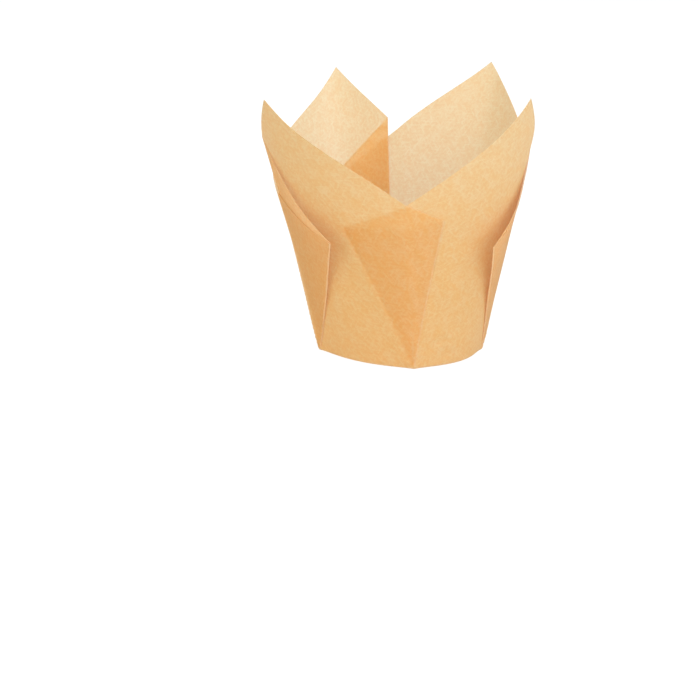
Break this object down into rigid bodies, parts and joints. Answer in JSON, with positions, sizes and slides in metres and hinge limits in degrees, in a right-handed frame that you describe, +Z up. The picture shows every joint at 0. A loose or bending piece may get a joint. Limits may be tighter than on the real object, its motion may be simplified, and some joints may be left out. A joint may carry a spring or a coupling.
{
  "type": "cupcake liner",
  "caption": "Folded tulip baking cup of unbleached paper: flat base, leaning walls, pointed petals and layered knife pleats between them.",
  "frame": {"origin": "centre of the flat base, on its underside", "axes": "+Z up out of the mouth, +X to the right pleat, -Y to the front pleat"},
  "size_m": [0.083, 0.0873, 0.0878],
  "materials": {
    "kraft_paper": "satin unbleached baking paper, slightly translucent"
  },
  "bodies": {
    "root": {"liner": "kraft_paper"}
  },
  "joints": []
}
